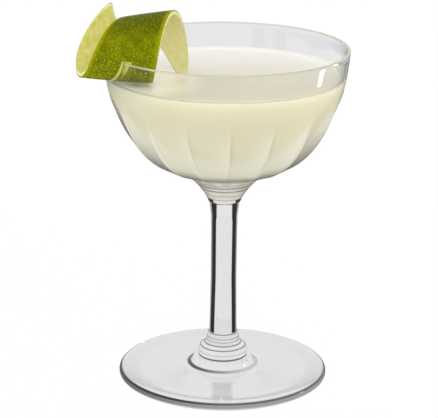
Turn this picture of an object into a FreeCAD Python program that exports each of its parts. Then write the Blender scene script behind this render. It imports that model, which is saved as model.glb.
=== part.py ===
import FreeCAD, Part
import math
import os
from FreeCAD import Vector

# A short citrus drink in a stemmed coupe glass, with a twist of lime peel hung on the rim.
# Millimetres, +Z up. The origin is the centre of the plane that the foot rests on.
# -Y is the front. Heights are above that plane, and depths are below the rim.

# Whole glass
glass_height = 133.0
rim_radius = 47.5
foot_radius = 41.3

# Bowl, outside: one curve from the rim down to the flare that carries it
rim_wall = 1.2
rim_taper_deg = 4.6
bowl_depth = 49.9
bowl_base_radius = 16.5
bowl_base_slope_deg = 8.4
bowl_side_pull = 39.7
bowl_base_pull = 9.7

# Bowl, inside
cavity_depth = 46.8
cavity_side_pull = 38.0
cavity_base_pull = 24.5

# Panels pressed round the lower bowl, each flat across and arched at its top
panel_count = 16
panel_first_deg = 14.0
panel_top_run = 17.5
panel_cut = 0.95
panel_arch = 9.0
panel_toe = 6.0
panel_past_base = 3.0
panel_lead = 1.5
panel_stations = 18
panel_half_width = 10.0
panel_clear = 8.0

# Flare under the bowl
flare_radius = 6.35
flare_height = 72.0
flare_slope_deg = 20.0
flare_top_pull = 3.0
flare_low_pull = 4.5

# Stem
stem_top_radius = 5.9
stem_neck_radius = 5.15
stem_neck_drop = 6.5
stem_mid_radius = 5.05
stem_mid_height = 40.0
stem_low_radius = 5.45
stem_top_step = 0.3

# Knop, its base ring and the foot: radius and height of each corner
collar_radius = 6.1
collar_height = 17.2
collar_step = 0.4
shoulder_radius = 6.7
shoulder_height = 13.6
knop_radius = 9.6
knop_top = 11.4
knop_bottom = 7.3
groove_radius = 9.0
groove_rise = 0.3
ring_radius = 11.7
ring_top = 6.7
ring_toe_radius = 12.6
ring_toe_height = 4.6
foot_thickness = 3.05
foot_edge_land = 0.1
foot_hollow = 1.2
rest_inner_radius = 33.0

# Roundings of those corners
ring_toe_round = 2.2
ring_round = 0.6
groove_round = 0.3
knop_low_round = 0.4
knop_high_round = 1.8
shoulder_round = 2.0
collar_round = 0.3
stem_mid_round = 60.0
stem_neck_round = 12.0
stem_top_round = 0.2

# Drink
freeboard = 10.2

# Lime twist: a strip of peel, pointed at both ends, wound round a tilted axis. Its angle is
# 0 at the front of the curl, 90 at the top and -90 at the bottom, and it winds to the right.
# A taper is the exponent of an edge's run from the widest place to a tip, and a fullness
# says how long that edge stays wide first.
peel_thickness = 1.8
peel_width = 27.7
peel_crown = 0.3
peel_tip_width = 1.4
peel_tail_deg = -225.0
peel_widest_deg = -97.5
peel_head_deg = 238.5
peel_tail_left_taper = 0.9
peel_tail_left_fullness = 3.85
peel_tail_right_taper = 1.75
peel_head_taper = 0.7
peel_head_left_fullness = 1.2
peel_right_fullness = 2.0
peel_tail_drift = 5.9
peel_head_drift = 5.2
peel_stations = 37
curl_round_deg = 205.0
curl_inset = 6.5
curl_centre_rise = 2.8
curl_depth_radius = 11.6
curl_height_radius = 12.05
curl_flare = 0.1
curl_yaw_deg = -5.8
curl_lean_deg = 3.7
curl_pitch = 21.3
curl_tail_loosen = 0.56
curl_head_loosen = 0.11

# Slot in the peel where the rim's wall passes
rim_clearance = 0.25
slot_reach = 14.0


def at(radius, height):
    return Vector(radius, 0, height)


def polar(angle_deg):
    """Unit vector in the XZ plane, turned from +X towards +Z."""
    angle = math.radians(angle_deg)
    return Vector(math.cos(angle), 0, math.sin(angle))


def line(start, end):
    return Part.LineSegment(start, end).toShape()


def bezier(*poles):
    curve = Part.BezierCurve()
    curve.setPoles(list(poles))
    return curve


def rounded_path(corners):
    """Straight runs through (radius, height, rounding) corners, with an arc at each inner one."""
    edges = []
    start = at(*corners[0][:2])
    for before, corner, after in zip(corners, corners[1:], corners[2:]):
        point = at(*corner[:2])
        rounding = corner[2]
        back = (at(*before[:2]) - point).normalize()
        ahead = (at(*after[:2]) - point).normalize()
        half_angle = back.getAngle(ahead) / 2
        reach = rounding / math.tan(half_angle)
        arc_start = point + back * reach
        arc_end = point + ahead * reach
        to_centre = (back + ahead).normalize()
        arc_middle = point + to_centre * (rounding / math.sin(half_angle) - rounding)
        edges.append(line(start, arc_start))
        edges.append(Part.Arc(arc_start, arc_middle, arc_end).toShape())
        start = arc_end
    edges.append(line(start, at(*corners[-1][:2])))
    return edges


def revolved(edges):
    """The solid swept by a closed outline in the XZ plane about the glass's axis."""
    face = Part.Face(Part.Wire(Part.__sortEdges__(edges)))
    return face.revolve(Vector(0, 0, 0), Vector(0, 0, 1), 360)


# ---- bowl curves ----
lip_height = glass_height - rim_wall / 2


def bowl_curve(radius, side_pull, end, end_slope_deg, base_pull):
    """One side of the bowl's wall, from the rim's edge to its end at the bottom."""
    top = at(radius, lip_height)
    down = polar(-90 - rim_taper_deg)
    return bezier(top, top + down * side_pull, end + polar(end_slope_deg) * base_pull, end)


bowl_base = at(bowl_base_radius, glass_height - bowl_depth)
cavity_floor = at(0, glass_height - cavity_depth)
outside = bowl_curve(rim_radius, bowl_side_pull, bowl_base, bowl_base_slope_deg, bowl_base_pull)
inside = bowl_curve(rim_radius - rim_wall, cavity_side_pull, cavity_floor, 0, cavity_base_pull)

flare_foot = at(flare_radius, flare_height)
flare = bezier(
    bowl_base,
    bowl_base - polar(bowl_base_slope_deg) * flare_top_pull,
    flare_foot + polar(90 - flare_slope_deg) * flare_low_pull,
    flare_foot,
)


# ---- glass ----
def stem_and_foot():
    """The outline from the rest ring round the foot's edge and up to the flare."""
    edge_round = (foot_thickness - foot_edge_land) / 2
    return rounded_path([
        (rest_inner_radius, 0, 0),
        (foot_radius, 0, edge_round),
        (foot_radius, foot_thickness, edge_round),
        (ring_toe_radius, ring_toe_height, ring_toe_round),
        (ring_radius, ring_top, ring_round),
        (groove_radius, ring_top + groove_rise, groove_round),
        (knop_radius, knop_bottom, knop_low_round),
        (knop_radius, knop_top, knop_high_round),
        (shoulder_radius, shoulder_height, shoulder_round),
        (collar_radius, collar_height, collar_round),
        (stem_low_radius, collar_height + collar_step, collar_round),
        (stem_mid_radius, stem_mid_height, stem_mid_round),
        (stem_neck_radius, flare_height - stem_neck_drop, stem_neck_round),
        (stem_top_radius, flare_height - stem_top_step, stem_top_round),
        (flare_radius, flare_height, 0),
    ])


def glass_blank():
    """The whole glass as turned, before its panels."""
    hollow = Part.Arc(at(-rest_inner_radius, 0), at(0, foot_hollow), at(rest_inner_radius, 0))
    hollow_middle = hollow.parameter(at(0, foot_hollow))
    hollow_edge = hollow.toShape(hollow_middle, hollow.LastParameter)
    rim_top = at(rim_radius - rim_wall / 2, glass_height)
    rim = Part.Arc(outside.StartPoint, rim_top, inside.StartPoint)
    axis = line(cavity_floor, at(0, foot_hollow))
    return revolved(
        [hollow_edge]
        + stem_and_foot()
        + [flare.toShape(), outside.toShape(), rim.toShape(), inside.toShape(), axis]
    )


def outside_at(distance):
    """A point on the outside this far along it from the rim, and the normal that leaves the glass."""
    run = outside.length()
    if distance < run:
        curve = outside
        along = distance
    else:
        curve = flare
        along = distance - run
    parameter = curve.parameterAtDistance(along, 0)
    tangent = curve.tangent(parameter)[0]
    return curve.value(parameter), Vector(-tangent.z, 0, tangent.x)


def panel_depth_at(distance, length):
    """How deep a panel is cut: it runs in over its arch and runs out over its toe."""
    if distance < panel_arch:
        return panel_cut * (1 - (1 - distance / panel_arch) ** 2)
    toe_start = length - panel_toe
    if distance > toe_start:
        return panel_cut * (1 - ((distance - toe_start) / panel_toe) ** 2)
    return panel_cut


def panel_cutter():
    """What is taken away for the panel facing +X: its floor is flat across and follows the bowl."""
    length = outside.length() + panel_past_base - panel_top_run
    floor = []
    for station in range(panel_stations):
        share = station / (panel_stations - 1)
        distance = -panel_lead + share * (length + 2 * panel_lead)
        point, outward = outside_at(panel_top_run + distance)
        floor.append(point - outward * panel_depth_at(distance, length))
    curve = Part.BSplineCurve()
    curve.interpolate(floor)
    far = rim_radius + panel_clear
    low = floor[-1].z - panel_clear
    edges = [
        curve.toShape(),
        line(floor[-1], at(floor[-1].x, low)),
        line(at(floor[-1].x, low), at(far, low)),
        line(at(far, low), at(far, floor[0].z)),
        line(at(far, floor[0].z), floor[0]),
    ]
    face = Part.Face(Part.Wire(edges))
    face.translate(Vector(0, -panel_half_width, 0))
    return face.extrude(Vector(0, 2 * panel_half_width, 0))


def glass():
    body = glass_blank()
    cutter = panel_cutter()
    for index in range(panel_count):
        turned = cutter.copy()
        turned.rotate(Vector(0, 0, 0), Vector(0, 0, 1), panel_first_deg + index * 360 / panel_count)
        body = body.cut(turned)
    return body


# ---- lime twist ----
curl_centre = Part.makeCircle(rim_radius - curl_inset).Curve.value(math.radians(curl_round_deg))
curl_centre.z = glass_height + curl_centre_rise
curl_front = Vector(math.sin(math.radians(curl_yaw_deg)), -math.cos(math.radians(curl_yaw_deg)), 0)
curl_level = Vector(-curl_front.y, curl_front.x, 0)
curl_lean = math.radians(curl_lean_deg)
curl_axis = curl_level * math.cos(curl_lean) + Vector(0, 0, math.sin(curl_lean))
curl_up = curl_front.cross(curl_axis)


def peel_edges(angle_deg):
    """How far the strip's left and right edges lie along the curl's axis from its helix."""
    if angle_deg < peel_widest_deg:
        end_share = (angle_deg - peel_widest_deg) / (peel_tail_deg - peel_widest_deg)
        left_fullness = peel_tail_left_fullness
        left_taper = peel_tail_left_taper
        right_taper = peel_tail_right_taper
        drift = peel_tail_drift
    else:
        end_share = (angle_deg - peel_widest_deg) / (peel_head_deg - peel_widest_deg)
        left_fullness = peel_head_left_fullness
        left_taper = peel_head_taper
        right_taper = peel_head_taper
        drift = peel_head_drift
    middle = drift * end_share ** 2
    tip = peel_tip_width / 2
    growth = (peel_width - peel_tip_width) / 2
    left = middle - tip - growth * max(0, 1 - end_share ** left_fullness) ** left_taper
    right = middle + tip + growth * max(0, 1 - end_share ** peel_right_fullness) ** right_taper
    return left, right


def curl_point(angle_deg, axial, lift):
    """A point of the peel at this angle, along the curl's axis and lifted off its skin."""
    angle = math.radians(angle_deg)
    past_quarter = max(0, abs(angle) - math.pi / 2)
    loosen = curl_tail_loosen if angle < 0 else curl_head_loosen
    spread = 1 + loosen * past_quarter ** 2 / 4
    along = axial + curl_pitch * angle_deg / 360
    out = lift + curl_flare * along
    return (
        curl_centre
        + curl_axis * along
        + curl_front * ((curl_depth_radius * spread + out) * math.cos(angle))
        + curl_up * ((curl_height_radius * spread + out) * math.sin(angle))
    )


def peel_section(angle_deg):
    """The closed outline across the strip: skin, right cut edge, pith, left cut edge."""
    left, right = peel_edges(angle_deg)
    middle = (left + right) / 2
    crown = peel_crown * ((right - left) / peel_width) ** 2
    skin = [
        curl_point(angle_deg, left, 0),
        curl_point(angle_deg, middle, crown),
        curl_point(angle_deg, right, 0),
    ]
    pith = [
        curl_point(angle_deg, right, -peel_thickness),
        curl_point(angle_deg, middle, crown - peel_thickness),
        curl_point(angle_deg, left, -peel_thickness),
    ]
    return Part.Wire([
        Part.Arc(*skin).toShape(),
        line(skin[-1], pith[0]),
        Part.Arc(*pith).toShape(),
        line(pith[-1], skin[0]),
    ])


def wall_slot():
    """The rim's wall with the clearance added to both sides and over its top."""
    outer_end = outside.parameterAtDistance(slot_reach, 0)
    inner_end = inside.parameterAtDistance(slot_reach, 0)
    outer_edge = outside.toShape(0, outer_end)
    inner_edge = inside.toShape(0, inner_end)
    outer_edge.translate(Vector(rim_clearance, 0, 0))
    inner_edge.translate(Vector(-rim_clearance, 0, 0))
    shift = Vector(rim_clearance, 0, 0)
    top = glass_height + rim_clearance
    outer_top = at(rim_radius + rim_clearance, top)
    inner_top = at(rim_radius - rim_wall - rim_clearance, top)
    return revolved([
        outer_edge,
        inner_edge,
        line(outside.StartPoint + shift, outer_top),
        line(outer_top, inner_top),
        line(inner_top, inside.StartPoint - shift),
        line(outside.value(outer_end) + shift, inside.value(inner_end) - shift),
    ])


def peel_strip():
    """The whole strip, lofted through sections that stand closer towards the tips."""
    middle_deg = (peel_tail_deg + peel_head_deg) / 2
    reach_deg = (peel_head_deg - peel_tail_deg) / 2
    sections = []
    for station in range(peel_stations):
        turn = math.pi * station / (peel_stations - 1)
        sections.append(peel_section(middle_deg - reach_deg * math.cos(turn)))
    return Part.makeLoft(sections, True, False)


def lime_twist():
    return peel_strip().cut(wall_slot())


# ---- drink ----
def drink():
    """It fills the cavity, against the glass, up to the freeboard, and leaves out the peel."""
    level = glass_height - freeboard
    full = revolved([
        inside.toShape(),
        line(inside.StartPoint, at(0, lip_height)),
        line(at(0, lip_height), cavity_floor),
    ])
    above = Part.makeCylinder(2 * rim_radius, glass_height, Vector(0, 0, level))
    return full.cut(above).cut(peel_strip())


def export(name, shape):
    solids = shape.Solids
    shape = solids[0] if len(solids) == 1 else shape
    shape.exportStep(f"parts/{name}.step")
    print(f"{name}: {len(solids)} solid, {shape.Volume / 1000:.2f} cm3, valid {shape.isValid()}")


os.makedirs("parts", exist_ok=True)
export("glass", glass())
export("drink", drink())
export("lime_twist", lime_twist())
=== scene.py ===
import math

import bmesh
import bpy
from mathutils import Matrix, Vector
from mathutils.geometry import interpolate_bezier


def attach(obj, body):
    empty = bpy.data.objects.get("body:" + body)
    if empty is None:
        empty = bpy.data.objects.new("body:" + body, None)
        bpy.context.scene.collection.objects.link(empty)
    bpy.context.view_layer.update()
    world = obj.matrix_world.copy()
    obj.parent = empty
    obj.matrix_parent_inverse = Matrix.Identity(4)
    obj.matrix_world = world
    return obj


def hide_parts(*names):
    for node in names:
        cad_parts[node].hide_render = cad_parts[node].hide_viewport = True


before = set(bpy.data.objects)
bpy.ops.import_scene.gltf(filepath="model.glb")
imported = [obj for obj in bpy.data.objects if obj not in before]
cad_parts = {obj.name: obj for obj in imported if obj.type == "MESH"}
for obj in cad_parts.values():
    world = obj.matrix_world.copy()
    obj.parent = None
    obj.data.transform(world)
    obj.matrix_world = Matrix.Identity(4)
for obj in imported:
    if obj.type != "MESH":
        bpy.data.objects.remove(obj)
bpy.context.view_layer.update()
mm = 0.001
sameSpot = 1e-6  # vertices closer than this are one
print("frame loaded:", sorted(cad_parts))


# Node trees

class Wire:  # the output of a node, usable in sums
    def __init__(self, tree, socket):
        self.tree = tree
        self.socket = socket

    def __add__(self, other):
        return self.tree.sum("ADD", self, other)

    def __radd__(self, other):
        return self.tree.sum("ADD", other, self)

    def __sub__(self, other):
        return self.tree.sum("SUBTRACT", self, other)

    def __rsub__(self, other):
        return self.tree.sum("SUBTRACT", other, self)

    def __mul__(self, other):
        return self.tree.sum("MULTIPLY", self, other)

    def __rmul__(self, other):
        return self.tree.sum("MULTIPLY", other, self)

    def __truediv__(self, other):
        return self.tree.sum("DIVIDE", self, other)

    def __rtruediv__(self, other):
        return self.tree.sum("DIVIDE", other, self)

    def __pow__(self, other):
        return self.tree.sum("POWER", self, other)

    def __gt__(self, other):
        return self.tree.sum("GREATER_THAN", self, other)

    def __lt__(self, other):
        return self.tree.sum("LESS_THAN", self, other)


class Tree:  # the nodes of a material or of the world
    def __init__(self, owner):
        owner.use_nodes = True
        self.nodes = owner.node_tree.nodes
        self.links = owner.node_tree.links
        self.nodes.clear()

    def add(self, kind, settings=None, inputs=None, out=0):
        node = self.nodes.new(kind)
        for name, value in (settings or {}).items():
            setattr(node, name, value)
        for key, value in (inputs or {}).items():
            if isinstance(value, Wire):
                self.links.new(value.socket, node.inputs[key])
            else:
                node.inputs[key].default_value = value
        return Wire(self, node.outputs[out]) if len(node.outputs) else None

    def sum(self, operation, *terms):  # one Math node
        return self.add("ShaderNodeMath", {"operation": operation}, dict(enumerate(terms)))

    def blend(self, factor, first, second):  # mixes two colours
        inputs = {0: factor, 6: first, 7: second}
        return self.add("ShaderNodeMix", {"data_type": "RGBA"}, inputs, 2)

    def band(self, value, reach, start=0.0, end=1.0):  # runs smoothly from start to end
        low, high = reach
        settings = {"interpolation_type": "SMOOTHSTEP"}
        inputs = {0: value, 1: low, 2: high, 3: start, 4: end}
        return self.add("ShaderNodeMapRange", settings, inputs)


def colour(tint):  # from screen values of 0 to 255
    return tuple(((value / 255 + 0.055) / 1.055) ** 2.4 for value in tint) + (1.0,)


def grey(level):
    return (level, level, level, 1.0)


def placeOn(tree):  # the place on a piece, its parts and its distance from the axis, in millimetres
    place = tree.add("ShaderNodeTexCoord", out="Object")
    parts = [tree.add("ShaderNodeSeparateXYZ", {}, {"Vector": place}, axis) * 1000
             for axis in "XYZ"]
    flat = tree.add("ShaderNodeVectorMath", {"operation": "MULTIPLY"}, {
        0: place, 1: (1000, 1000, 0)})
    radius = tree.add("ShaderNodeVectorMath", {"operation": "LENGTH"}, {0: flat}, "Value")
    return place, parts, radius


# Mesh helpers

def addOutline(bm, points):  # a chain of vertices joined by edges
    chain = [bm.verts.new(point) for point in points]
    for first, second in zip(chain, chain[1:]):
        bm.edges.new((first, second))
    return chain


def turnBy(angleDeg, axis="Z"):
    return Matrix.Rotation(math.radians(angleDeg), 3, axis)


def spinOutline(bm, steps, startDeg=0.0):  # the whole way round
    bmesh.ops.rotate(bm, verts=bm.verts[:], matrix=turnBy(startDeg))
    bmesh.ops.spin(bm, geom=bm.verts[:] + bm.edges[:], cent=(0, 0, 0), axis=(0, 0, 1),
                   angle=math.tau, steps=steps, use_merge=True)
    bmesh.ops.remove_doubles(bm, verts=bm.verts[:], dist=sameSpot)


def finishMesh(name, bm, material):
    bmesh.ops.recalc_face_normals(bm, faces=bm.faces[:])
    mesh = bpy.data.meshes.new(name)
    bm.to_mesh(mesh)
    bm.free()
    mesh.polygons.foreach_set("use_smooth", [True] * len(mesh.polygons))
    piece = bpy.data.objects.new(name, mesh)
    bpy.context.scene.collection.objects.link(piece)
    mesh.materials.append(material)
    return piece


# Glass

glassSizes = {  # millimetres
    "height": 133.0, "rimRadius": 47.5, "wall": 1.2, "taperDeg": 4.6,
    "bowlDepth": 49.9, "baseRadius": 16.5, "baseSlopeDeg": 8.4, "sidePull": 39.7, "basePull": 9.7,
    "cavityDepth": 46.8, "cavitySidePull": 38.0, "cavityBasePull": 24.5,
    "flareRadius": 6.35, "flareHeight": 72.0, "flareSlopeDeg": 20.0,
    "flareTopPull": 3.0, "flareLowPull": 4.5,
    "restRadius": 33.0, "hollow": 1.2,
    "panels": 16, "panelDeg": 14.0, "panelTop": 17.5, "panelCut": 0.95,
    "panelArch": 9.0, "panelToe": 6.0, "panelPastBase": 3.0, "panelLead": 1.5,
    "pressReach": 0.6, "outsideReach": 0.4, "outsideStep": 0.5,
    "stepsPerPanel": 20, "bowlSteps": 64, "flareSteps": 28, "rimSteps": 8, "hollowSteps": 8,
    "cornerStep": 0.25, "cornerSteps": (3, 12), "floorSteps": (200, 80), "outerSteps": (200, 60),
}
# radius, height and rounding of each corner from the rest ring up to the flare
stemCorners = [
    (41.3, 0, 1.5), (41.3, 3.05, 1.5), (12.6, 4.6, 2.2), (11.7, 6.7, 0.6), (9.0, 7.0, 0.3),
    (9.6, 7.3, 0.4), (9.6, 11.4, 1.8), (6.7, 13.6, 2.0), (6.1, 17.2, 0.3), (5.45, 17.6, 0.3),
    (5.05, 40.0, 60.0), (5.15, 65.5, 12.0), (5.9, 71.7, 0.2),
]


def at(radius, height):
    return Vector((radius * mm, 0, height * mm))


def polar(angleDeg, length):
    angle = math.radians(angleDeg)
    return Vector((math.cos(angle), 0, math.sin(angle))) * length * mm


def bowlCurve(radius, sidePull, end, slopeDeg, basePull, steps):
    s = glassSizes
    top = at(radius, s["height"] - s["wall"] / 2)
    down = polar(-90 - s["taperDeg"], sidePull)
    return interpolate_bezier(top, top + down, end + polar(slopeDeg, basePull), end, steps)


def outsideCurve(steps):
    s = glassSizes
    base = at(s["baseRadius"], s["height"] - s["bowlDepth"])
    return bowlCurve(s["rimRadius"], s["sidePull"], base, s["baseSlopeDeg"], s["basePull"], steps)


def insideCurve(steps):
    s = glassSizes
    floor = at(0, s["height"] - s["cavityDepth"])
    return bowlCurve(s["rimRadius"] - s["wall"], s["cavitySidePull"], floor, 0,
                     s["cavityBasePull"], steps)


def flareCurve(steps):
    s = glassSizes
    base = at(s["baseRadius"], s["height"] - s["bowlDepth"])
    foot = at(s["flareRadius"], s["flareHeight"])
    return interpolate_bezier(base, base - polar(s["baseSlopeDeg"], s["flareTopPull"]),
                              foot + polar(90 - s["flareSlopeDeg"], s["flareLowPull"]), foot, steps)


def panelFloor():
    # the middle line of one panel, facing +X: the outside, sunk by the panel's depth
    s = glassSizes
    outsideSteps, flareSteps = s["floorSteps"]
    line = outsideCurve(outsideSteps)
    length = sum((after - before).length for before, after in zip(line, line[1:])) / mm
    length += s["panelPastBase"] - s["panelTop"]
    line += flareCurve(flareSteps)[1:]
    floor = []
    run = -s["panelTop"]
    for before, point in zip(line, line[1:]):
        run += (point - before).length / mm
        if -s["panelLead"] <= run <= length + s["panelLead"]:
            along = (point - before).normalized()
            outward = Vector((-along.z, 0, along.x))
            if run < s["panelArch"]:  # runs in over the arch
                share = 1 - (1 - run / s["panelArch"]) ** 2
            else:  # and out past the flare
                share = 1 - (max(0, run - length + s["panelToe"]) / s["panelToe"]) ** 2
            floor.append((point - outward * s["panelCut"] * share * mm, outward))
    return floor


def pressPanels(bm, pressed):
    s = glassSizes
    floor = panelFloor()
    panelStep = 2 * math.pi / s["panels"]
    first = math.radians(s["panelDeg"])
    for vert in pressed:
        angle = math.atan2(vert.co.y, vert.co.x)
        turn = first + round((angle - first) / panelStep) * panelStep
        local = Matrix.Rotation(-turn, 3, "Z") @ vert.co
        flat = Vector((local.x, 0, local.z))
        point, outward = min(floor, key=lambda step: (step[0] - flat).length_squared)
        depth = (flat - point).dot(outward)
        beside = (flat - point - outward * depth).length
        if depth > 0 and beside < s["pressReach"] * mm:
            local -= outward * depth
            vert.co = Matrix.Rotation(turn, 3, "Z") @ local


def addStem(bm):  # the underside, the foot and the stem, with their corners rounded
    s = glassSizes
    fewest, most = s["cornerSteps"]
    corners = [at(s["restRadius"], 0)] + [at(radius, z) for radius, z, rounding in stemCorners]
    corners.append(at(s["flareRadius"], s["flareHeight"]))
    chain = addOutline(bm, corners)
    for before, vert, after, corner in zip(corners, chain[1:], corners[2:], stemCorners):
        back = before - vert.co
        ahead = after - vert.co
        reach = corner[2] * mm / math.tan(back.angle(ahead) / 2)
        segments = max(fewest, min(most, int(reach / (s["cornerStep"] * mm))))
        bmesh.ops.bevel(bm, geom=[vert], offset=reach, offset_type="OFFSET", segments=segments,
                        profile=0.5, affect="VERTICES", material=-1)


def addBowl(bm):  # flare, outside, rim and inside
    s = glassSizes
    flare = flareCurve(s["flareSteps"])[::-1]
    outside = outsideCurve(s["bowlSteps"])[::-1]
    inside = insideCurve(s["bowlSteps"])
    rimCentre = at(s["rimRadius"] - s["wall"] / 2, s["height"] - s["wall"] / 2)
    steps = s["rimSteps"]
    rim = [rimCentre + polar(180 * n / steps, s["wall"] / 2) for n in range(1, steps)]
    addOutline(bm, flare + outside[1:] + rim + inside)


def addHollow(bm):  # the shallow dish under the foot
    s = glassSizes
    shares = [n / s["hollowSteps"] for n in range(s["hollowSteps"] + 1)]
    addOutline(bm, [at(s["restRadius"] * n, s["hollow"] * (1 - n ** 2)) for n in shares])


def outerVerts(bm):  # only the outside of the bowl and the flare is pressed
    s = glassSizes
    step = s["outsideStep"] * mm
    outsideSteps, flareSteps = s["outerSteps"]
    outer = {}
    for point in outsideCurve(outsideSteps) + flareCurve(flareSteps):
        outer.setdefault(round(point.z / step), []).append(point.x)
    found = []
    for vert in bm.verts:
        near = outer.get(round(vert.co.z / step), [])
        if near and math.hypot(vert.co.x, vert.co.y) > min(near) - s["outsideReach"] * mm:
            found.append(vert)
    return found


def makeGlass(material):
    s = glassSizes
    bm = bmesh.new()
    addStem(bm)
    addBowl(bm)
    addHollow(bm)
    bmesh.ops.remove_doubles(bm, verts=bm.verts[:], dist=sameSpot)
    spinOutline(bm, s["panels"] * s["stepsPerPanel"], s["panelDeg"] - 180 / s["panels"])
    pressPanels(bm, outerVerts(bm))
    return finishMesh("coupeGlass", bm, material)


# Drink

drinkSizes = {  # millimetres
    "freeboard": 10.2, "intoWall": 0.35, "meniscus": 0.25, "meniscusWidth": 1.0,
    "meniscusSteps": 8, "topRadii": (38, 30, 20, 10, 0), "wallSteps": 120, "steps": 160,
}


def makeDrink(material):
    s = drinkSizes
    level = glassSizes["height"] - s["freeboard"]
    crest = level + s["meniscus"]
    wall = insideCurve(s["wallSteps"])
    side = []
    for before, point in zip(wall, wall[1:]):
        along = (point - before).normalized()
        side.append(point + Vector((-along.z, 0, along.x)) * s["intoWall"] * mm)
    edge = min((point for point in side if point.z > crest * mm), key=lambda point: point.z)
    edge = Vector((edge.x, 0, crest * mm))
    below = [point for point in side if point.z < level * mm]
    side = [edge] + below + [at(0, side[-1].z / mm)]
    inner = edge.x / mm - s["intoWall"]
    shares = [n / s["meniscusSteps"] for n in range(s["meniscusSteps"] + 1)]
    top = [at(inner - s["meniscusWidth"] * n, level + s["meniscus"] * (1 - n) ** 3) for n in shares]
    top += [at(radius, level) for radius in s["topRadii"]]
    bm = bmesh.new()
    addOutline(bm, top[::-1] + side)
    spinOutline(bm, s["steps"])
    return finishMesh("gimlet", bm, material)


# Lime twist

peelSizes = {  # millimetres and degrees; the angle is 0 at the front of the curl and 90 at its top
    "thickness": 1.8, "width": 27.7, "crown": 0.3, "tipWidth": 1.4,
    "tailDeg": -225.0, "widestDeg": -97.5, "headDeg": 238.5,
    "tailTapers": (0.9, 1.75), "tailFullness": 3.85, "headTapers": (0.7, 0.7), "headFullness": 1.2,
    "tailDrift": 5.9, "headDrift": 5.2, "roundDeg": 205.0, "inset": 6.5, "centreRise": 2.8,
    "depthRadius": 11.6, "heightRadius": 12.05, "flare": 0.1, "yawDeg": -5.8, "leanDeg": 3.7,
    "pitch": 21.3, "tailLoosen": 0.56, "headLoosen": 0.11, "along": 320, "across": 64,
    "endCrowding": 0.25,  # how much closer the grid's lines lie towards the ends
    "slotClearance": 0.25, "slotReach": 14.0, "slotStartDeg": 150, "slotTurnDeg": 120,
    "slotSteps": 160, "slotWallSteps": 40,
}


def peelEdges(angleDeg):  # how far the strip's two edges lie from its helix there
    s = peelSizes
    end = "tail" if angleDeg < s["widestDeg"] else "head"
    share = (angleDeg - s["widestDeg"]) / (s[end + "Deg"] - s["widestDeg"])
    middle = s[end + "Drift"] * share ** 2
    tip = s["tipWidth"] / 2
    growth = (s["width"] - s["tipWidth"]) / 2
    leftTaper, rightTaper = s[end + "Tapers"]
    left = middle - tip - growth * max(0, 1 - share ** s[end + "Fullness"]) ** leftTaper
    right = middle + tip + growth * max(0, 1 - share ** 2) ** rightTaper
    return left, right


def curlPoint(angleDeg, axial, lift):
    s = peelSizes
    angle = math.radians(angleDeg)
    turned = turnBy(s["yawDeg"]) @ turnBy(-s["leanDeg"], "Y")
    loosen = s["tailLoosen"] if angle < 0 else s["headLoosen"]
    spread = 1 + loosen * (max(0, abs(angle) - math.pi / 2) / 2) ** 2
    along = axial + s["pitch"] * angleDeg / 360
    out = lift + s["flare"] * along
    across = Vector((along, -(s["depthRadius"] * spread + out) * math.cos(angle),
                     (s["heightRadius"] * spread + out) * math.sin(angle)))
    centre = turnBy(s["roundDeg"]) @ at(
        glassSizes["rimRadius"] - s["inset"], glassSizes["height"] + s["centreRise"])
    return centre + turned @ across * mm


def makeSlotCutter(material):  # the rim's wall with the clearance round it
    s = peelSizes
    clear = at(s["slotClearance"], 0)
    lowest = (glassSizes["height"] - s["slotReach"]) * mm
    top = (glassSizes["height"] + s["slotClearance"]) * mm
    outer = [point + clear for point in outsideCurve(s["slotWallSteps"]) if point.z > lowest]
    inner = [point - clear for point in insideCurve(s["slotWallSteps"]) if point.z > lowest]
    over = [Vector((outer[0].x, 0, top)), Vector((inner[0].x, 0, top))]
    bm = bmesh.new()
    chain = addOutline(bm, outer[::-1] + over + inner)
    bm.edges.new((chain[-1], chain[0]))
    face = bm.faces.new(chain)
    bmesh.ops.rotate(bm, verts=bm.verts[:], matrix=turnBy(s["slotStartDeg"]))
    bmesh.ops.spin(bm, geom=bm.verts[:] + bm.edges[:] + [face], cent=(0, 0, 0), axis=(0, 0, 1),
                   angle=math.radians(s["slotTurnDeg"]), steps=s["slotSteps"])
    return finishMesh("slotCutter", bm, material)


def cutSlot(peel, cutter):  # where the rim's wall passes
    cut = peel.modifiers.new("slot", "BOOLEAN")
    cut.operation = "DIFFERENCE"
    cut.solver = "EXACT"
    cut.object = cutter
    evaluated = peel.evaluated_get(bpy.context.evaluated_depsgraph_get())
    mesh = bpy.data.meshes.new_from_object(evaluated)
    peel.modifiers.clear()
    peel.data = mesh
    bpy.data.objects.remove(cutter)


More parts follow.
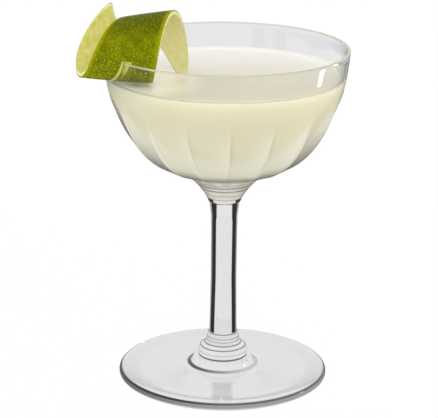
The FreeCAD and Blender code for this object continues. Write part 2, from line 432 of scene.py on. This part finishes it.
def makePeel(material):
    s = peelSizes
    bm = bmesh.new()
    bmesh.ops.create_grid(bm, x_segments=s["along"], y_segments=s["across"], size=0.5,
                          calc_uvs=True)
    strip = bm.loops.layers.uv.new("strip")  # place on the strip in tens of millimetres
    depth = bm.loops.layers.uv.new("depth")  # 0 on the skin and 1 on the pith, and 0 to 1 across
    places = {}
    for vert in bm.verts:
        even = vert.co.x + 0.5
        crowded = (1 - math.cos(math.pi * even)) / 2
        share = s["endCrowding"] * crowded + (1 - s["endCrowding"]) * even
        angle = s["tailDeg"] + (s["headDeg"] - s["tailDeg"]) * share
        left, right = peelEdges(angle)
        across = left + (right - left) * (vert.co.y + 0.5)
        crown = s["crown"] * ((right - left) / s["width"]) ** 2 * (1 - (2 * vert.co.y) ** 2)
        places[vert] = (math.radians(angle) * s["depthRadius"] / 10,
                        (across + s["pitch"] * angle / 360) / 10, vert.co.y + 0.5)
        vert.co = curlPoint(angle, across, crown)
    skin = set(bm.verts)
    for face in bm.faces:
        for loop in face.loops:
            loop[strip].uv = places[loop.vert][:2]
            loop[depth].uv = (0.0, places[loop.vert][2])
    bmesh.ops.recalc_face_normals(bm, faces=bm.faces[:])
    front = curlPoint(0, 0, 0)
    middle = min(bm.faces, key=lambda face: (face.calc_center_median() - front).length)
    if middle.normal.y > 0:  # the skin faces outwards
        bmesh.ops.reverse_faces(bm, faces=bm.faces[:])
    bmesh.ops.solidify(bm, geom=bm.faces[:], thickness=s["thickness"] * mm)
    for face in bm.faces:
        for loop in face.loops:
            loop[depth].uv.x = 0.0 if loop.vert in skin else 1.0
    peel = finishMesh("limePeel", bm, material)
    cutSlot(peel, makeSlotCutter(material))
    return peel


# Materials

def newMaterial(name):
    material = bpy.data.materials.new(name)
    return material, Tree(material)


# heights, radii and places in millimetres, depths in metres; an edge is a reach of Facing
glassLooks = {
    "ior": 1.5, "waveScale": 60.0, "waveStrength": 0.04, "waveDepth": 0.0005,
    # dark is the colour of the painted shade, pale that of the painted rim highlight and flare tone
    "dark": (40, 38, 32), "pale": (198, 192, 166), "clear": (0.97, 0.98, 0.97, 1.0),
    "darkRoughness": 0.05, "paleRoughness": 0.1,
    "stemFrom": 17.8, "neckFrom": 71.8, "flareFrom": 73.6, "bowlFrom": 84.0, "bowlFade": (100, 112),
    "stemEdge": (0.235, 0.275), "stemOutline": (0.55, 0.7), "outlineShade": 0.3,
    "neckEdge": (0.42, 0.5), "flareEdge": (0.45, 0.8), "flareShade": 0.5,
    "bowlEdge": (0.6, 0.92), "bowlShade": 0.65,
    "rimHeights": (132.3, 132.6), "rimPaintedHighlight": 0.6, "flarePaintedTone": 0.4,
    "ringsWithin": 16, "ringCore": 0.4,
    "rings": [  # height, half the width, how dark
        (73.7, 0.3, 0.6), (75.6, 0.35, 0.4), (78.0, 0.5, 0.8), (79.8, 0.5, 0.75),
        (17.5, 0.2, 0.7), (15.7, 0.25, 0.55), (14.5, 0.25, 0.55), (13.2, 0.3, 0.65),
        (11.9, 0.3, 0.65), (9.9, 0.25, 0.35), (8.1, 0.5, 0.85),
    ],
    "joinInner": (12.4, 12.9), "joinOuter": (13.6, 14.6), "joinHeights": (3.4, 5.2),
    "joinAcross": (-13, 12), "joinShades": (0.95, 0.3),
    "toeBeyond": 39.5, "toeSide": (0.4, 1.4), "toeSideShade": 0.58, "toeTop": (2.2, 2.6),
    "toeTopShade": 0.3, "toeFade": (2.9, 3.15), "toeAcross": (-40, 5), "toeShades": (1.4, 1.0),
    "leaveEdge": (0.24, 0.27), "leaveHeights": (83.0, 84.0), "leaveBowl": 0.7,
}


def paintedShadeLines(tree, across, height, radius):  # painted shade: dark edges, rings and crescents standing in for the room seen dark through thick glass
    s = glassLooks
    facing = tree.add("ShaderNodeLayerWeight", {}, {"Blend": 0.5}, "Facing")
    # painted shade along its edges
    stem = (height > s["stemFrom"]) * (height < s["neckFrom"])
    neck = (height > s["neckFrom"]) * (height < s["flareFrom"])
    flare = (height > s["flareFrom"]) * (height < s["bowlFrom"])
    bowl = (height > s["bowlFrom"]) * tree.band(height, s["bowlFade"], 1.0, 0.0)
    outline = tree.band(facing, s["stemOutline"], 1.0, s["outlineShade"])
    shade = tree.band(facing, s["stemEdge"]) * outline * stem
    shade = shade + tree.band(facing, s["neckEdge"]) * neck
    shade = shade + tree.band(facing, s["flareEdge"]) * flare * s["flareShade"]
    shade = shade + tree.band(facing, s["bowlEdge"]) * bowl * s["bowlShade"]
    # painted shade lines at its grooves and steps
    for middle, half, share in s["rings"]:
        off = tree.sum("ABSOLUTE", height - middle)
        line = tree.band(off, (half * s["ringCore"], half), share, 0.0)
        shade = shade + line * (radius < s["ringsWithin"])
    # painted shade where the knop joins the foot and along the foot's outer edge, both darker at
    # the left
    low, high = s["joinHeights"]
    join = tree.band(radius, s["joinInner"]) * tree.band(radius, s["joinOuter"], 1.0, 0.0)
    join = join * (height < high) * (height > low)
    shade = shade + join * tree.band(across, s["joinAcross"], *s["joinShades"])
    toe = tree.band(height, s["toeSide"], 0.0, s["toeSideShade"])
    toe = toe + tree.band(height, s["toeTop"], 0.0, s["toeTopShade"])
    toe = toe * tree.band(height, s["toeFade"], 1.0, 0.0) * (radius > s["toeBeyond"])
    shade = shade + toe * tree.band(across, s["toeAcross"], *s["toeShades"])
    return shade, flare, facing


def makeGlassMaterial():
    s = glassLooks
    material, tree = newMaterial("clearGlass")
    place, (across, deep, height), radius = placeOn(tree)
    waves = tree.add("ShaderNodeTexNoise", {}, {
        "Vector": place, "Scale": s["waveScale"], "Detail": 2.0})
    bump = tree.add("ShaderNodeBump", {}, {
        "Height": waves, "Strength": s["waveStrength"], "Distance": s["waveDepth"]})
    glass = tree.add("ShaderNodeBsdfPrincipled", {}, {
        "Base Color": grey(1.0), "Roughness": 0.0, "IOR": s["ior"], "Transmission Weight": 1.0,
        "Normal": bump})
    # the dark shader that the painted shade mixes in
    dark = tree.add("ShaderNodeBsdfPrincipled", {}, {
        "Base Color": colour(s["dark"]), "Roughness": s["darkRoughness"], "IOR": s["ior"]})
    # the pale shader that the painted rim highlight and flare tone mix in
    pale = tree.add("ShaderNodeBsdfPrincipled", {}, {
        "Base Color": colour(s["pale"]), "Roughness": s["paleRoughness"], "IOR": s["ior"]})
    clear = tree.add("ShaderNodeBsdfTransparent", {}, {"Color": s["clear"]})
    shade, flare, facing = paintedShadeLines(tree, across, height, radius)
    inside = tree.add("ShaderNodeNewGeometry", out="Backfacing")
    body = tree.add("ShaderNodeMixShader", {}, {0: shade * (1 - inside), 1: glass, 2: dark})
    # painted light: a pale highlight on the rim's top, and the drink's tone painted on the flare
    paintedLightMask = tree.band(height, s["rimHeights"]) * s["rimPaintedHighlight"] + flare * s["flarePaintedTone"]
    body = tree.add("ShaderNodeMixShader", {}, {0: paintedLightMask * (1 - inside), 1: body, 2: pale})
    # what strikes the wall flat from inside leaves it, so thick glass stays light
    leaving = tree.band(facing, s["leaveEdge"]) * inside
    leaving = leaving * tree.band(height, s["leaveHeights"], 1.0, s["leaveBowl"])
    body = tree.add("ShaderNodeMixShader", {}, {0: leaving, 1: body, 2: clear})
    # lamps and scattered light pass straight
    scattered = tree.add("ShaderNodeLightPath", out="Is Diffuse Ray")
    shadow = tree.add("ShaderNodeLightPath", out="Is Shadow Ray")
    surface = tree.add("ShaderNodeMixShader", {}, {0: scattered, 1: body, 2: clear})
    surface = tree.add("ShaderNodeMixShader", {}, {0: shadow, 1: surface, 2: clear})
    tree.add("ShaderNodeOutputMaterial", {}, {"Surface": surface})
    return material


drinkLooks = {  # heights, radii and places in millimetres, the scatter's depth in metres
    "tints": ((212, 206, 180), (217, 212, 188)), "cloudScale": 35.0,
    # painted light and shade in this list: the panel ridges, the surface whiter towards the back,
    # the lighter patch under the twist, the darker lip and the paler silhouette
    "panelFade": (100, 115), "panelShare": 0.6, "ridgeWidth": 0.14,
    "ridgeLight": (232, 228, 212), "ridgeDark": (196, 190, 166),
    "topFrom": (122.0, 122.7), "topFront": (206, 200, 178), "topBack": (224, 221, 216),
    "frontToBack": (-32, 40),
    "paintedLight": (252, 247, 232), "paintedLightPlace": (-34.0, -16.0, 122.8), "paintedLightReach": (12, 30),
    "paintedLightShare": 0.9,
    "lipShade": (168, 162, 140), "lipRadii": (43.9, 44.4),
    "outline": (226, 223, 212), "outlineEdge": (0.2, 0.26), "outlineFade": (108, 118),
    "outlineShare": 0.5,
    "roughness": 0.12, "ior": 1.34, "gloss": 0.1,
    "scatterRadii": (1.0, 1.0, 0.9), "scatterDepth": 0.013,
}


def makeDrinkMaterial():
    s = drinkLooks
    material, tree = newMaterial("cloudyLime")
    place, (across, deep, height), radius = placeOn(tree)
    cloud = tree.add("ShaderNodeTexNoise", {}, {
        "Vector": place, "Scale": s["cloudScale"], "Detail": 3.0})
    tint = tree.blend(cloud, *(colour(each) for each in s["tints"]))
    # painted light and shade: each panel of the glass is drawn gathering light towards one ridge
    panelStep = 360 / glassSizes["panels"]
    ridge = glassSizes["panelDeg"] - panelStep / 2
    turn = tree.sum("ARCTAN2", deep, across) * math.degrees(1) - ridge + 720  # never below 0
    share = tree.sum("FRACT", turn / panelStep)
    panels = tree.band(height, s["panelFade"], 1.0, 0.0)
    tint = tree.blend(share ** 2 * panels * s["panelShare"], tint, colour(s["ridgeLight"]))
    beside = tree.band(share, (0.0, s["ridgeWidth"]), 1.0, 0.0)
    tint = tree.blend(beside * panels * s["panelShare"], tint, colour(s["ridgeDark"]))
    # painted reflection: the surface is whiter towards the back
    top = tree.band(height, s["topFrom"])
    back = tree.band(deep, s["frontToBack"])
    level = tree.blend(back, colour(s["topFront"]), colour(s["topBack"]))
    tint = tree.blend(top, tint, level)
    # painted light: the surface is lighter where the twist hangs over it, against the twist's
    # shadow
    under = tree.add("ShaderNodeVectorMath", {"operation": "DISTANCE"}, {
        0: place, 1: tuple(part * mm for part in s["paintedLightPlace"])}, "Value") * 1000
    paintedLight = tree.band(under, s["paintedLightReach"], s["paintedLightShare"], 0.0)
    tint = tree.blend(top * paintedLight, tint, colour(s["paintedLight"]))
    # painted shade: a darker ring where the surface meets the glass
    tint = tree.blend(top * tree.band(radius, s["lipRadii"]), tint, colour(s["lipShade"]))
    # painted light: paler towards the drink's lower silhouette, where it thins
    facing = tree.add("ShaderNodeLayerWeight", {}, {"Blend": 0.5}, "Facing")
    edge = tree.band(facing, s["outlineEdge"]) * tree.band(height, s["outlineFade"], 1.0, 0.0)
    tint = tree.blend(edge * s["outlineShare"], tint, colour(s["outline"]))
    body = tree.add("ShaderNodeBsdfPrincipled", {}, {
        "Base Color": tint, "Roughness": s["roughness"], "IOR": s["ior"],
        "Specular IOR Level": s["gloss"], "Subsurface Weight": 1.0,
        "Subsurface Radius": s["scatterRadii"], "Subsurface Scale": s["scatterDepth"]})
    tree.add("ShaderNodeOutputMaterial", {}, {"Surface": body})
    return material


# heights and the cut in millimetres, relief and scatter in metres; skinDepth, pithDepth and
# roughDepth run from 0 on the skin to 1 on the pith
peelLooks = {
    "skins": ((97, 103, 0), (122, 126, 0)), "patchScale": 2.5, "patchReach": (0.3, 0.7),
    # the darker top skin is painted shade, and the pale pore colour is partly a painted glint
    "shadedTopSkin": (82, 89, 0), "topReach": (140, 149),
    "border": (160, 164, 0), "borderReach": (0.41, 0.49), "borderShare": 0.6,
    "poreGlint": (176, 184, 30), "poreScale": 13.0, "poreScatter": 0.9, "poreReach": (0.18, 0.5),
    "strengthScale": 10.0, "strengthReach": (0.3, 0.6),
    "poreHeights": (128, 144), "poreShades": (0.9, 0.35),
    "cut": (206, 204, 110), "cutReach": (1.1, 1.4), "cutBelow": 133.5, "cutShare": 0.8,
    "fibreScale": 5.0, "fibreReach": (0.25, 0.75), "piths": ((200, 196, 92), (220, 214, 140)),
    "headPith": (226, 222, 196), "headReach": (1.8, 2.6), "headShare": 0.38,
    "layer": (222, 222, 160), "skinDepth": (0.2, 0.34), "pithDepth": (0.9, 0.98),
    "fibreRelief": 0.3, "reliefStrength": 0.4, "reliefDepth": 0.00015,
    "roughDepth": (0.1, 0.2), "roughness": (0.35, 0.6), "gloss": 0.03,
    "scatterShare": 0.15, "scatterRadii": (0.8, 1.0, 0.3), "scatterDepth": 0.001,
}


def makePeelMaterial():
    s = peelLooks
    material, tree = newMaterial("limeRind")
    strip = tree.add("ShaderNodeUVMap", {"uv_map": "strip"})
    along = tree.add("ShaderNodeSeparateXYZ", {}, {"Vector": strip}, "X")
    layer = tree.add("ShaderNodeUVMap", {"uv_map": "depth"})
    depth = tree.add("ShaderNodeSeparateXYZ", {}, {"Vector": layer}, "X")
    width = tree.add("ShaderNodeSeparateXYZ", {}, {"Vector": layer}, "Y")
    place, (across, deep, height), radius = placeOn(tree)
    # the skin: olive green, with painted shade darkening its top, and brighter along its edges
    patches = tree.add("ShaderNodeTexNoise", {}, {
        "Vector": strip, "Scale": s["patchScale"], "Detail": 4.0})
    skin = tree.blend(tree.band(patches, s["patchReach"]), *(colour(each) for each in s["skins"]))
    skin = tree.blend(tree.band(height, s["topReach"]), skin, colour(s["shadedTopSkin"]))
    border = tree.band(tree.sum("ABSOLUTE", width - 0.5), s["borderReach"])
    skin = tree.blend(border * s["borderShare"], skin, colour(s["border"]))
    # with close pores, their pale colour partly a painted glint and fewer towards the top
    pores = tree.add("ShaderNodeTexVoronoi", {"feature": "F1"}, {
        "Vector": strip, "Scale": s["poreScale"], "Randomness": s["poreScatter"]})
    strength = tree.add("ShaderNodeTexNoise", {}, {
        "Vector": strip, "Scale": s["strengthScale"], "Detail": 1.0})
    spots = tree.band(pores, s["poreReach"], 1.0, 0.0)
    strong = tree.band(strength, s["strengthReach"])
    strong = strong * tree.band(height, s["poreHeights"], *s["poreShades"])
    skin = tree.blend(spots * strong, skin, colour(s["poreGlint"]))
    # pale where the knife went through
    wall = glassSizes["rimRadius"] - glassSizes["wall"] / 2
    cut = tree.band(tree.sum("ABSOLUTE", radius - wall), s["cutReach"], 1.0, 0.0)
    skin = tree.blend(cut * (height < s["cutBelow"]) * s["cutShare"], skin, colour(s["cut"]))
    # the inside: pale green pith, whiter in the head of the curl
    fibres = tree.add("ShaderNodeTexNoise", {}, {
        "Vector": strip, "Scale": s["fibreScale"], "Detail": 5.0})
    pith = tree.blend(tree.band(fibres, s["fibreReach"]), *(colour(each) for each in s["piths"]))
    head = tree.band(along, s["headReach"], 0.0, s["headShare"])
    pith = tree.blend(head, pith, colour(s["headPith"]))
    rind = tree.blend(tree.band(depth, s["skinDepth"]), skin, colour(s["layer"]))
    rind = tree.blend(tree.band(depth, s["pithDepth"]), rind, pith)
    bump = tree.add("ShaderNodeBump", {}, {
        "Height": fibres * s["fibreRelief"] - spots, "Strength": s["reliefStrength"],
        "Distance": s["reliefDepth"]})
    body = tree.add("ShaderNodeBsdfPrincipled", {}, {
        "Base Color": rind, "Roughness": tree.band(depth, s["roughDepth"], *s["roughness"]),
        "Subsurface Weight": s["scatterShare"], "Subsurface Radius": s["scatterRadii"],
        "Subsurface Scale": s["scatterDepth"], "Specular IOR Level": s["gloss"], "Normal": bump})
    tree.add("ShaderNodeOutputMaterial", {}, {"Surface": body})
    return material


# Pieces

coupe = makeGlass(makeGlassMaterial())
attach(coupe, "root")
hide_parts("glass")
print("glass made:", len(coupe.data.polygons))

gimlet = makeDrink(makeDrinkMaterial())
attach(gimlet, "root")
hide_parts("drink")
print("drink made:", len(gimlet.data.polygons))

peel = makePeel(makePeelMaterial())
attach(peel, "root")
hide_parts("lime_twist")
print("lime twist made:", len(peel.data.polygons))


# Studio

studio = {
    "floorSize": 6.0, "floorTint": (235, 235, 235), "floorShare": 0.9,
    "light": 0.96,  # the even light on everything
    "shine": {"sky": 0.7, "floor": 0.15},  # what reflections see of the room
    "backdrop": (0.79, 0.78, 0.80, 1.0),  # what is seen through the glass
    "lampTarget": (0, 0, 0.09),
    "lamps": [  # name, place, size, power, tint, seen in reflections
        ("keyLamp", (0.75, -0.75, 0.55), (0.35, 0.6), 2.8, (1.0, 0.99, 0.96), False),
        ("fillLamp", (-0.9, -0.5, 0.35), (0.6, 0.5), 2.8, (0.97, 0.98, 1.0), False),
        ("backLamp", (0.0, 0.9, 0.8), (0.9, 0.5), 3.0, (1.0, 1.0, 1.0), False),
        ("stripLamp", (0.20, 0.0, 0.076), (0.02, 0.045), 0.03, (1.0, 1.0, 1.0), True),
    ],
    "lens": 162.73, "sensor": 36.0, "cameraPlace": (0, -0.740, 0.2995),
    "cameraTurns": [(0.164, "Z"), (72.642, "X"), (0.656, "Z")],  # degrees
}


def sightLines(tree, shine):
    # white straight to the camera, pale through glass, and dimmer in what is mirrored
    camera = tree.add("ShaderNodeLightPath", out="Is Camera Ray")
    glossy = tree.add("ShaderNodeLightPath", out="Is Glossy Ray")
    through = tree.add("ShaderNodeLightPath", out="Is Transmission Ray")
    mirrored = tree.add("ShaderNodeLightPath", out="Glossy Depth") > 0.5
    direct = tree.sum("MAXIMUM", camera, tree.sum("MAXIMUM", glossy, through))
    seen = tree.blend(mirrored, studio["backdrop"], grey(shine))
    seen = tree.blend(camera, seen, grey(1.0))
    return seen, direct, mirrored


def makeFloor():
    material, tree = newMaterial("paleFloor")
    seen, direct, mirrored = sightLines(tree, studio["shine"]["floor"])
    plain = tree.add("ShaderNodeBsdfDiffuse", {}, {"Color": colour(studio["floorTint"])})
    shown = tree.add("ShaderNodeEmission", {}, {"Color": seen, "Strength": 1.0})
    # the rest is lit, and keeps the shadow
    share = direct * (studio["floorShare"] + (1 - studio["floorShare"]) * mirrored)
    surface = tree.add("ShaderNodeMixShader", {}, {0: share, 1: plain, 2: shown})
    tree.add("ShaderNodeOutputMaterial", {}, {"Surface": surface})
    bm = bmesh.new()
    bmesh.ops.create_grid(bm, x_segments=1, y_segments=1, size=studio["floorSize"] / 2)
    floor = finishMesh("floor", bm, material)


def makeWorld():
    world = bpy.data.worlds.new("studioWorld")
    bpy.context.scene.world = world
    tree = Tree(world)
    seen, direct = sightLines(tree, studio["shine"]["sky"])[:2]
    sky = tree.blend(direct, grey(studio["light"]), seen)
    light = tree.add("ShaderNodeBackground", {}, {"Color": sky, "Strength": 1.0})
    tree.add("ShaderNodeOutputWorld", {}, {"Surface": light})


def makeLamps():
    target = Vector(studio["lampTarget"])
    for name, place, size, power, tint, reflected in studio["lamps"]:
        lamp = bpy.data.lights.new(name, "AREA")
        lamp.shape = "RECTANGLE"
        lamp.size, lamp.size_y = size
        lamp.energy = power
        lamp.color = tint
        holder = bpy.data.objects.new(name, lamp)
        holder.visible_glossy = reflected
        holder.visible_transmission = False
        holder.visible_camera = False
        holder.location = place
        holder.rotation_euler = (target - Vector(place)).to_track_quat("-Z", "Y").to_euler()
        bpy.context.scene.collection.objects.link(holder)


def makeCamera():
    camera = bpy.data.cameras.new("camera")
    camera.lens = studio["lens"]
    camera.sensor_width = studio["sensor"]
    camera.sensor_fit = "HORIZONTAL"
    holder = bpy.data.objects.new("camera", camera)
    place = Matrix.Translation(studio["cameraPlace"])
    for angleDeg, axis in studio["cameraTurns"]:
        place @= Matrix.Rotation(math.radians(angleDeg), 4, axis)
    holder.matrix_world = place
    bpy.context.scene.collection.objects.link(holder)
    bpy.context.scene.camera = holder


makeFloor()
makeWorld()
makeLamps()
makeCamera()
bpy.context.scene.view_settings.view_transform = "Standard"
print("studio made")
